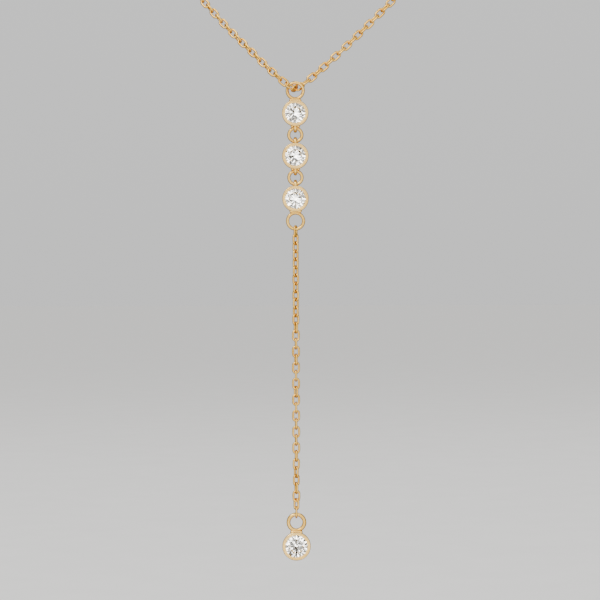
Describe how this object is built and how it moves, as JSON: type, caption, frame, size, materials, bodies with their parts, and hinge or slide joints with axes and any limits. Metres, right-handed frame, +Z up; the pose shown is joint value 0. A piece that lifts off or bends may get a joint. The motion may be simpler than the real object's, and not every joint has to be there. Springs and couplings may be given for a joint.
{
  "type": "y necklace",
  "caption": "Gold Y necklace of fine cable chain: a ring on the neck chain carries linked bezel-set round stones, then a straight chain down to a larger bezel-set stone",
  "frame": {"origin": "middle of the neck opening, level with the clasp at the nape, where the necklace is held up", "axes": "+Z up, against the way the drop hangs; the stones face -Y; +X is the viewer's right"},
  "size_m": [0.1252, 0.132, 0.1643],
  "materials": {
    "gold": "polished yellow gold, high shine",
    "stone": "clear, colourless, faceted and polished"
  },
  "bodies": {
    "necklace": {"neck_chain": "gold", "clasp": "gold"},
    "drop": {"setting_1": "gold", "setting_2": "gold", "setting_3": "gold", "end_setting": "gold", "stone_1": "stone", "stone_2": "stone", "stone_3": "stone", "end_stone": "stone", "jump_ring_1": "gold", "jump_ring_2": "gold", "drop_chain": "gold"}
  },
  "joints": [
    {"name": "drop_swing", "type": "hinge", "parent": "necklace", "child": "drop", "pos_m": [0, -0.064, -0.088], "axis": [0, 1, 0], "range_deg": [-45, 45]}
  ]
}
